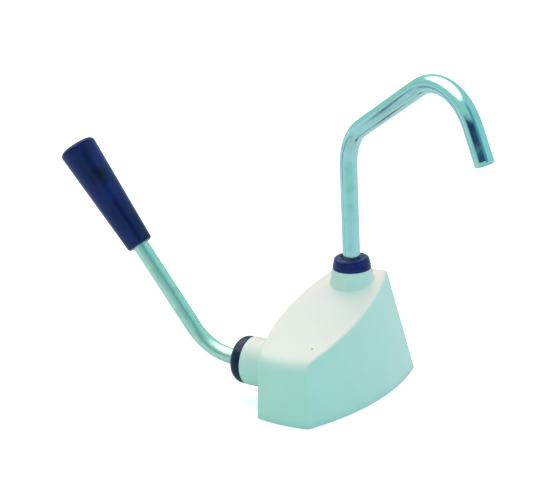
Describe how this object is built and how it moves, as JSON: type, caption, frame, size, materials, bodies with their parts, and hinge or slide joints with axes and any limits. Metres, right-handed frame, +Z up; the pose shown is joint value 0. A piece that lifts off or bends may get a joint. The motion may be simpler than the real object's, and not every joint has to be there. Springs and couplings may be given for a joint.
{
  "type": "deck-mounted hand pump",
  "caption": "Deck-mounted hand water pump: sloping moulded body, side crank handle with tapered grip, swivelling bent-tube spout and an under-deck hose tail.",
  "frame": {"origin": "on the deck plane, midway between the four deck fixings", "axes": "+X to the right seen from the narrow front end, +Y to the rear towards the spout, +Z up out of the deck; the handle's shaft is parallel to X"},
  "size_m": [0.3392, 0.1299, 0.2643],
  "materials": {
    "white_plastic": "semi-gloss white moulding",
    "black_rubber": "matte",
    "grey_plastic": "matte",
    "stainless_screw": "turned",
    "brass_insert": "machined",
    "acetal": "satin",
    "stainless_steel": "ground",
    "navy_plastic": "satin navy moulding",
    "handle_steel": "polished",
    "spout_chrome": "bright chrome"
  },
  "bodies": {
    "pump": {"pump_body": "white_plastic", "deck_gasket": "black_rubber", "base_plate": "grey_plastic", "base_screws": "stainless_screw", "deck_inserts": "brass_insert", "hose_tail": "grey_plastic", "hose_tail_seal": "black_rubber", "inlet_duct": "grey_plastic", "pump_barrel": "grey_plastic", "barrel_cover": "grey_plastic", "cover_screws": "stainless_screw", "shaft_seal": "black_rubber", "saddle": "grey_plastic", "nose_bush": "acetal", "nose_collar": "navy_plastic", "discharge_duct": "grey_plastic", "spout_socket": "grey_plastic", "lower_spout_bush": "acetal", "seal_spacer": "acetal", "upper_spout_bush": "acetal", "spout_o_rings": "black_rubber", "spout_collar": "navy_plastic"},
    "handle": {"rotor_shaft": "stainless_steel", "wing": "acetal", "wing_seals": "black_rubber", "handle_pin": "stainless_steel", "handle_tube": "handle_steel", "grip": "navy_plastic"},
    "spout": {"spout_tube": "spout_chrome", "spout_clip": "stainless_steel"},
    "suction_flap_rear": {"suction_flap_rear": "black_rubber"},
    "suction_flap_front": {"suction_flap_front": "black_rubber"},
    "delivery_flap_rear": {"delivery_flap_rear": "black_rubber"},
    "delivery_flap_front": {"delivery_flap_front": "black_rubber"}
  },
  "joints": [
    {"name": "handle_swing", "type": "hinge", "parent": "pump", "child": "handle", "pos_m": [0, -0.034, 0.0286], "axis": [1, 0, 0], "range_deg": [-34, 34]},
    {"name": "spout_swivel", "type": "hinge", "parent": "pump", "child": "spout", "pos_m": [0, 0.0422, 0.08], "axis": [0, 0, 1], "continuous": true},
    {"name": "suction_flap_rear_lift", "type": "hinge", "parent": "pump", "child": "suction_flap_rear", "pos_m": [0.0005, -0.02986, 0.02152], "axis": [1, 0, 0], "range_deg": [0, 8]},
    {"name": "suction_flap_front_lift", "type": "hinge", "parent": "pump", "child": "suction_flap_front", "pos_m": [0.0005, -0.03814, 0.02152], "axis": [-1, 0, 0], "range_deg": [0, 8]},
    {"name": "delivery_flap_rear_lift", "type": "hinge", "parent": "handle", "child": "delivery_flap_rear", "pos_m": [0.0005, -0.0258, 0.03065], "axis": [1, 0, 0], "range_deg": [0, 12]},
    {"name": "delivery_flap_front_lift", "type": "hinge", "parent": "handle", "child": "delivery_flap_front", "pos_m": [0.0005, -0.0422, 0.03065], "axis": [-1, 0, 0], "range_deg": [0, 12]}
  ]
}
